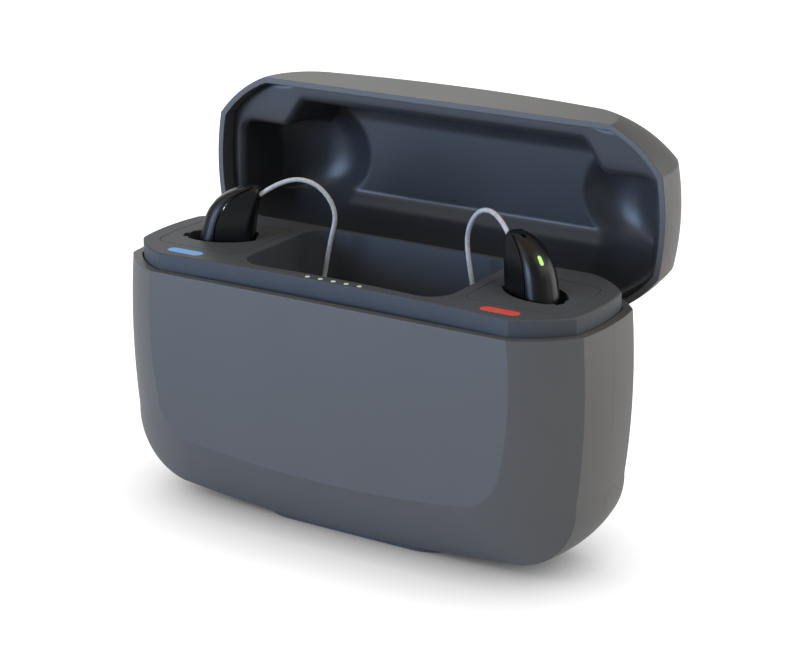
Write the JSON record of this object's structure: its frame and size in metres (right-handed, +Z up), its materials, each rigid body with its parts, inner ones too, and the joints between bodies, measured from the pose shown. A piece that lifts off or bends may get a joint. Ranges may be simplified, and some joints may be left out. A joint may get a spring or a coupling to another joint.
{
  "type": "hearing aid charger",
  "caption": "Clamshell charging case for behind-the-ear hearing aids, lid open, with a receiver bowl, charging wells, charge lights and the aids standing in place.",
  "frame": {"origin": "centre of the base's rest face, on the surface it stands on", "axes": "+Z up, +X to the right as the user faces it, +Y towards the hinge at the back"},
  "size_m": [0.099, 0.0617, 0.0774],
  "materials": {
    "shell_plastic": "fine satin grey moulding",
    "deck_plastic": "dark fine satin moulding",
    "liner_plastic": "dark blue-grey satin moulding",
    "insert_plastic": "dark fine satin moulding",
    "marker_blue": "blue flush inlay",
    "marker_red": "red flush inlay",
    "light_lens": "lit green-white lens",
    "foot_rubber": "black elastomer",
    "pin_steel": "ground steel",
    "arm_steel": "dark sintered steel",
    "board": "green circuit board",
    "cell": "pouch cell foil",
    "inlet": "stamped receptacle shell",
    "magnet": "nickel plated magnet",
    "contact": "gold plated contact",
    "aid_shell": "gloss black moulding",
    "aid_lens": "green lit window",
    "wire": "pale translucent wire jacket",
    "receiver_shell": "black receiver case",
    "dome_silicone": "smoke grey silicone"
  },
  "bodies": {
    "base": {"battery_cell": "cell", "battery_light_1": "light_lens", "battery_light_2": "light_lens", "battery_light_3": "light_lens", "battery_light_4": "light_lens", "battery_light_5": "light_lens", "deck": "deck_plastic", "foot_pad": "foot_rubber", "front_shell": "shell_plastic", "left_base_magnet": "magnet", "left_charge_pins": "contact", "left_hinge_pin": "pin_steel", "left_marker": "marker_blue", "left_port_insert": "insert_plastic", "main_board": "board", "rear_shell": "shell_plastic", "right_base_magnet": "magnet", "right_charge_pins": "contact", "right_hinge_pin": "pin_steel", "right_marker": "marker_red", "right_port_insert": "insert_plastic", "usb_socket": "inlet"},
    "lid": {"left_lid_arm": "arm_steel", "left_lid_magnet": "magnet", "lid_liner": "liner_plastic", "lid_shell": "shell_plastic", "right_lid_arm": "arm_steel", "right_lid_magnet": "magnet"},
    "left_aid": {"left_aid_body": "aid_shell", "left_aid_pads": "contact", "left_wire_socket": "wire", "left_receiver_wire": "wire", "left_receiver": "receiver_shell", "left_dome": "dome_silicone"},
    "left_aid_push": {"left_aid_button": "aid_shell", "left_aid_light": "aid_lens"},
    "right_aid": {"right_aid_body": "aid_shell", "right_aid_pads": "contact", "right_wire_socket": "wire", "right_receiver_wire": "wire", "right_receiver": "receiver_shell", "right_dome": "dome_silicone"},
    "right_aid_push": {"right_aid_button": "aid_shell", "right_aid_light": "aid_lens"}
  },
  "joints": [
    {"name": "lid_hinge", "type": "hinge", "parent": "base", "child": "lid", "pos_m": [0, 0.01575, 0.04398], "axis": [1, 0, 0], "range_deg": [0, 90]},
    {"name": "left_aid_lift", "type": "slide", "parent": "base", "child": "left_aid", "axis": [0, 0, -1], "range_m": [-0.035, 0]},
    {"name": "left_aid_button_press", "type": "slide", "parent": "left_aid", "child": "left_aid_push", "axis": [0.9018, 0.4321, 0], "range_m": [0, 0.0002], "stiffness_N_per_m": 400},
    {"name": "right_aid_lift", "type": "slide", "parent": "base", "child": "right_aid", "axis": [0, 0, -1], "range_m": [-0.035, 0]},
    {"name": "right_aid_button_press", "type": "slide", "parent": "right_aid", "child": "right_aid_push", "axis": [-0.9018, 0.4321, 0], "range_m": [0, 0.0002], "stiffness_N_per_m": 400}
  ]
}
